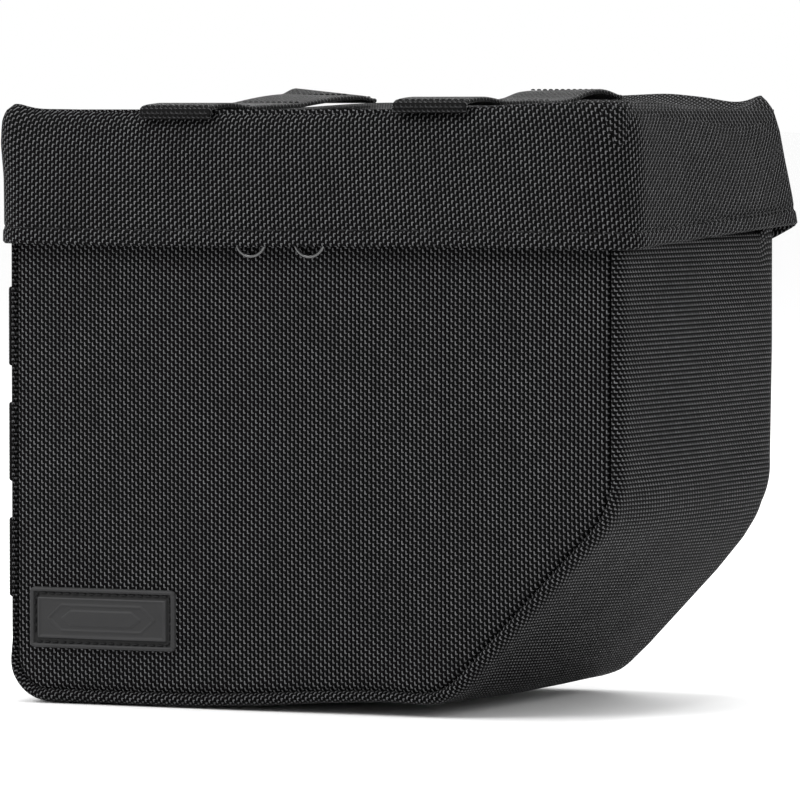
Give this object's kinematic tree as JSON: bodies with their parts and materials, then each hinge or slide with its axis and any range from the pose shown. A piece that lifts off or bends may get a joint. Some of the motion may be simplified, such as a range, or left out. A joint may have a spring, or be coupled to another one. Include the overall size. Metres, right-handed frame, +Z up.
{
  "type": "motorcycle tail bag",
  "caption": "Small box-shaped soft motorcycle bag with a slanted lower corner, a zipped lid under a rain skirt and webbing loops.",
  "frame": {"origin": "on the ground under the middle of the bag's body, halfway between its front and back panels", "axes": "+Z up; +X along the bag's long side, towards the slanted lower corner; the big front panel with the patch faces -Y"},
  "size_m": [0.2258, 0.1364, 0.1956],
  "materials": {
    "ballistic_nylon": "coarse woven, dull sheen",
    "stiffener_board": "smooth sheet",
    "foam": "closed-cell, matt",
    "lining_cloth": "thin coated cloth",
    "thread": "twisted, satin",
    "webbing": "ribbed weave",
    "zip_tape": "herringbone weave",
    "zip_coil": "satin monofilament",
    "patch_rubber": "smooth, satin",
    "black_metal": "gloss black"
  },
  "bodies": {
    "bag": {"front_panel": "ballistic_nylon", "back_panel": "ballistic_nylon", "side_and_bottom_strip": "ballistic_nylon", "front_board": "stiffener_board", "back_board": "stiffener_board", "left_side_board": "stiffener_board", "right_side_board": "stiffener_board", "bottom_board": "stiffener_board", "slanted_board": "stiffener_board", "front_lining": "lining_cloth", "back_lining": "lining_cloth", "side_lining": "lining_cloth", "front_seam_binding": "webbing", "back_seam_binding": "webbing", "rubber_patch": "patch_rubber", "patch_thread": "thread", "side_webbing_lower": "webbing", "side_webbing_middle": "webbing", "side_webbing_upper": "webbing", "side_webbing_tacks": "thread", "hinge_strip": "webbing", "zip_tape_lower": "zip_tape", "zip_coil_lower": "zip_coil", "zip_stops": "black_metal"},
    "lid": {"zip_tape_upper": "zip_tape", "zip_coil_upper": "zip_coil", "lid_top_panel": "ballistic_nylon", "lid_wall": "ballistic_nylon", "lid_back_wall": "ballistic_nylon", "lid_foam": "foam", "lid_lining": "lining_cloth", "rain_skirt": "ballistic_nylon", "hem_thread": "thread", "lid_webbing_left": "webbing", "lid_webbing_right": "webbing", "lid_webbing_tacks_left": "thread", "lid_webbing_tacks_right": "thread"},
    "slider_left": {"zip_slider_left": "black_metal"},
    "slider_right": {"zip_slider_right": "black_metal"},
    "pull_left": {"pull_ring_left": "black_metal"},
    "pull_right": {"pull_ring_right": "black_metal"}
  },
  "joints": [
    {"name": "lid_hinge", "type": "hinge", "parent": "bag", "child": "lid", "pos_m": [0, 0.0642, 0.153], "axis": [-1, 0, 0], "range_deg": [0, 110]},
    {"name": "slider_left_travel", "type": "slide", "parent": "bag", "child": "slider_left", "axis": [-1, 0, 0], "range_m": [0, 0.075]},
    {"name": "slider_right_travel", "type": "slide", "parent": "bag", "child": "slider_right", "axis": [1, 0, 0], "range_m": [0, 0.09]},
    {"name": "pull_left_swing", "type": "hinge", "parent": "slider_left", "child": "pull_left", "pos_m": [-0.0188, -0.06475, 0.153], "axis": [0, 1, 0], "range_deg": [-25, 70]},
    {"name": "pull_right_swing", "type": "hinge", "parent": "slider_right", "child": "pull_right", "pos_m": [0.0018, -0.06475, 0.153], "axis": [0, -1, 0], "range_deg": [-25, 70]}
  ]
}
